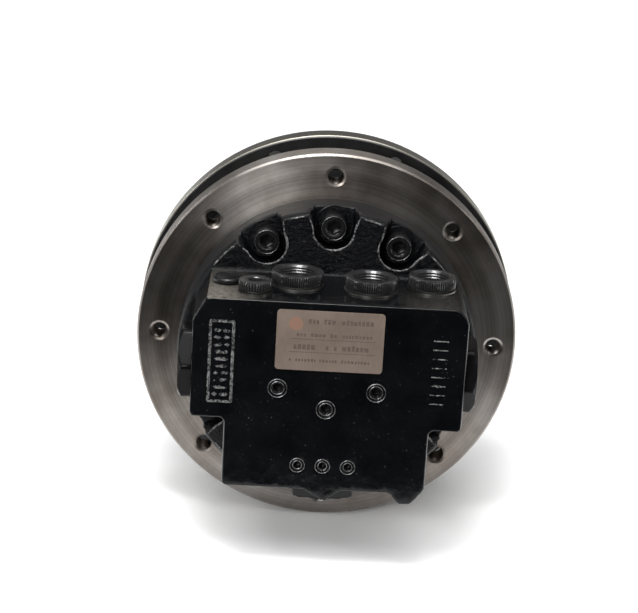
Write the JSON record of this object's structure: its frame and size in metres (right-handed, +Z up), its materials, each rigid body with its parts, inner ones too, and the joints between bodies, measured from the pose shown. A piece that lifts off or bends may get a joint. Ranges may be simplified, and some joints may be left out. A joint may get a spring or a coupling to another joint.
{
  "type": "hydraulic travel motor",
  "caption": "Axial piston hydraulic travel motor with a planetary reduction, a bolt-on frame flange, a turning sprocket flange and a black valve block with capped ports.",
  "frame": {"origin": "centre of the frame flange's mounting face", "axes": "-Y out of the valve end along the turning axis, +Z up with the ports on top"},
  "size_m": [0.24, 0.2468, 0.24],
  "materials": {
    "machined_steel": "turned on a lathe, fine rings, light oil",
    "cast_block": "glossy black enamel over a sand casting",
    "black_paint": "glossy black enamel",
    "drum_iron": "machined flange, painted black elsewhere",
    "black_screws": "black oxide under the paint",
    "plate": "satin printed foil",
    "ground_steel": "ground and polished",
    "spring_steel": "drawn wire",
    "gear_steel": "case hardened, cut teeth",
    "bronze": "lapped bronze",
    "seal_metal": "zinc plated washer",
    "black_plastic": "moulded and knurled",
    "rubber": "smooth",
    "friction_lining": "sintered lining"
  },
  "bodies": {
    "motor": {"spindle": "machined_steel", "port_block": "cast_block", "cover_screws": "black_screws", "gallery_plugs_large": "black_screws", "gallery_plugs_small": "black_screws", "nameplate": "plate", "counterbalance_cap_left": "black_paint", "counterbalance_cap_right": "black_paint", "counterbalance_spring_left": "spring_steel", "counterbalance_spring_right": "spring_steel", "speed_valve_plug": "black_screws", "speed_spring": "spring_steel", "port_washers": "seal_metal", "valve_plate": "bronze", "main_bearing_inners": "ground_steel", "shaft_bearing_outers": "ground_steel", "face_seal_fixed": "ground_steel", "face_seal_rubber_fixed": "rubber", "shaft_seal": "rubber", "bearing_nut": "ground_steel", "brake_plates": "ground_steel", "brake_springs": "spring_steel", "planet_2_pins": "ground_steel"},
    "drum": {"gear_housing": "drum_iron", "end_cover": "black_paint", "end_cover_screws": "black_screws", "oil_plugs": "ground_steel", "main_bearing_outers": "ground_steel", "face_seal_rotating": "ground_steel", "face_seal_rubber_rotating": "rubber"},
    "main_balls": {"main_bearing_balls": "ground_steel"},
    "shaft_balls": {"shaft_bearing_balls": "ground_steel"},
    "rotor": {"drive_shaft": "gear_steel", "sun_1": "gear_steel", "cylinder_block": "gear_steel", "pistons": "ground_steel", "ball_guide": "gear_steel", "friction_discs": "friction_lining", "shaft_bearing_inners": "ground_steel"},
    "swash": {"swash_plate": "gear_steel"},
    "slipper_ring": {"slippers": "bronze", "retainer_plate": "gear_steel"},
    "speed_piston": {"speed_piston": "ground_steel"},
    "carrier": {"carrier_1": "gear_steel", "sun_2": "gear_steel", "planet_1_pins": "ground_steel"},
    "planet_1_a": {"planet_1_a": "gear_steel"},
    "planet_1_b": {"planet_1_b": "gear_steel"},
    "planet_1_c": {"planet_1_c": "gear_steel"},
    "planet_2_a": {"planet_2_a": "gear_steel"},
    "planet_2_b": {"planet_2_b": "gear_steel"},
    "planet_2_c": {"planet_2_c": "gear_steel"},
    "brake_piston": {"brake_piston": "ground_steel"},
    "counterbalance_spool": {"counterbalance_spool": "ground_steel"},
    "speed_spool": {"speed_spool": "ground_steel"},
    "cap_port_a": {"cap_port_a": "black_plastic"},
    "cap_port_b": {"cap_port_b": "black_plastic"},
    "cap_drain": {"cap_drain": "black_plastic"},
    "cap_pilot": {"cap_pilot": "black_plastic"}
  },
  "joints": [
    {"name": "drum_turn", "type": "hinge", "parent": "motor", "child": "drum", "pos_m": [0, 0.05, 0], "axis": [0, 1, 0], "continuous": true},
    {"name": "main_balls_turn", "type": "hinge", "parent": "motor", "child": "main_balls", "pos_m": [0, 0.05, 0], "axis": [0, 1, 0], "continuous": true},
    {"name": "shaft_turn", "type": "hinge", "parent": "motor", "child": "rotor", "pos_m": [0, 0.02, 0], "axis": [0, 1, 0], "continuous": true},
    {"name": "shaft_balls_turn", "type": "hinge", "parent": "motor", "child": "shaft_balls", "pos_m": [0, 0.07, 0], "axis": [0, 1, 0], "continuous": true},
    {"name": "swash_tilt", "type": "hinge", "parent": "motor", "child": "swash", "pos_m": [0, 0.044, 0], "axis": [1, 0, 0], "range_deg": [0, 4]},
    {"name": "slipper_turn", "type": "hinge", "parent": "swash", "child": "slipper_ring", "pos_m": [0, 0.044, 0], "axis": [0, 0.9903, -0.1392], "continuous": true},
    {"name": "speed_piston_slide", "type": "slide", "parent": "motor", "child": "speed_piston", "axis": [0, -1, 0], "range_m": [0, 0.00216]},
    {"name": "carrier_turn", "type": "hinge", "parent": "motor", "child": "carrier", "pos_m": [0, 0.11, 0], "axis": [0, 1, 0], "continuous": true},
    {"name": "planet_1_a_turn", "type": "hinge", "parent": "carrier", "child": "planet_1_a", "pos_m": [0, 0.125, 0.045], "axis": [0, 1, 0], "continuous": true},
    {"name": "planet_1_b_turn", "type": "hinge", "parent": "carrier", "child": "planet_1_b", "pos_m": [-0.03897, 0.125, -0.0225], "axis": [0, 1, 0], "continuous": true},
    {"name": "planet_1_c_turn", "type": "hinge", "parent": "carrier", "child": "planet_1_c", "pos_m": [0.03897, 0.125, -0.0225], "axis": [0, 1, 0], "continuous": true},
    {"name": "planet_2_a_turn", "type": "hinge", "parent": "motor", "child": "planet_2_a", "pos_m": [0.04222, 0.094, 0.02438], "axis": [0, 1, 0], "continuous": true},
    {"name": "planet_2_b_turn", "type": "hinge", "parent": "motor", "child": "planet_2_b", "pos_m": [-0.04222, 0.094, 0.02438], "axis": [0, 1, 0], "continuous": true},
    {"name": "planet_2_c_turn", "type": "hinge", "parent": "motor", "child": "planet_2_c", "pos_m": [0, 0.094, -0.04875], "axis": [0, 1, 0], "continuous": true},
    {"name": "brake_release", "type": "slide", "parent": "motor", "child": "brake_piston", "axis": [0, -1, 0], "range_m": [0, 0.0015], "deforming": ["brake_springs"]},
    {"name": "counterbalance_shift", "type": "slide", "parent": "motor", "child": "counterbalance_spool", "axis": [1, 0, 0], "range_m": [-0.006, 0.006], "deforming": ["counterbalance_spring_left", "counterbalance_spring_right"]},
    {"name": "speed_spool_shift", "type": "slide", "parent": "motor", "child": "speed_spool", "axis": [0, 0, -1], "range_m": [0, 0.004], "deforming": ["speed_spring"]},
    {"name": "cap_port_a_pull", "type": "slide", "parent": "motor", "child": "cap_port_a", "axis": [0, 0, 1], "range_m": [0, 0.05]},
    {"name": "cap_port_b_pull", "type": "slide", "parent": "motor", "child": "cap_port_b", "axis": [0, 0, 1], "range_m": [0, 0.05]},
    {"name": "cap_drain_pull", "type": "slide", "parent": "motor", "child": "cap_drain", "axis": [0, 0, 1], "range_m": [0, 0.05]},
    {"name": "cap_pilot_pull", "type": "slide", "parent": "motor", "child": "cap_pilot", "axis": [0, 0, 1], "range_m": [0, 0.05]}
  ],
  "couplings": [
    {"joint": "main_balls_turn", "follows": "drum_turn", "ratio": 0.53716},
    {"joint": "shaft_turn", "follows": "drum_turn", "ratio": -25},
    {"joint": "shaft_balls_turn", "follows": "drum_turn", "ratio": -10.417},
    {"joint": "slipper_turn", "follows": "drum_turn", "ratio": -25},
    {"joint": "speed_piston_slide", "follows": "swash_tilt", "m_per_rad": 0.031},
    {"joint": "carrier_turn", "follows": "drum_turn", "ratio": -3.3333},
    {"joint": "planet_1_a_turn", "follows": "drum_turn", "ratio": 10.833},
    {"joint": "planet_1_b_turn", "follows": "drum_turn", "ratio": 10.833},
    {"joint": "planet_1_c_turn", "follows": "drum_turn", "ratio": 10.833},
    {"joint": "planet_2_a_turn", "follows": "drum_turn", "ratio": 2.8571},
    {"joint": "planet_2_b_turn", "follows": "drum_turn", "ratio": 2.8571},
    {"joint": "planet_2_c_turn", "follows": "drum_turn", "ratio": 2.8571}
  ]
}
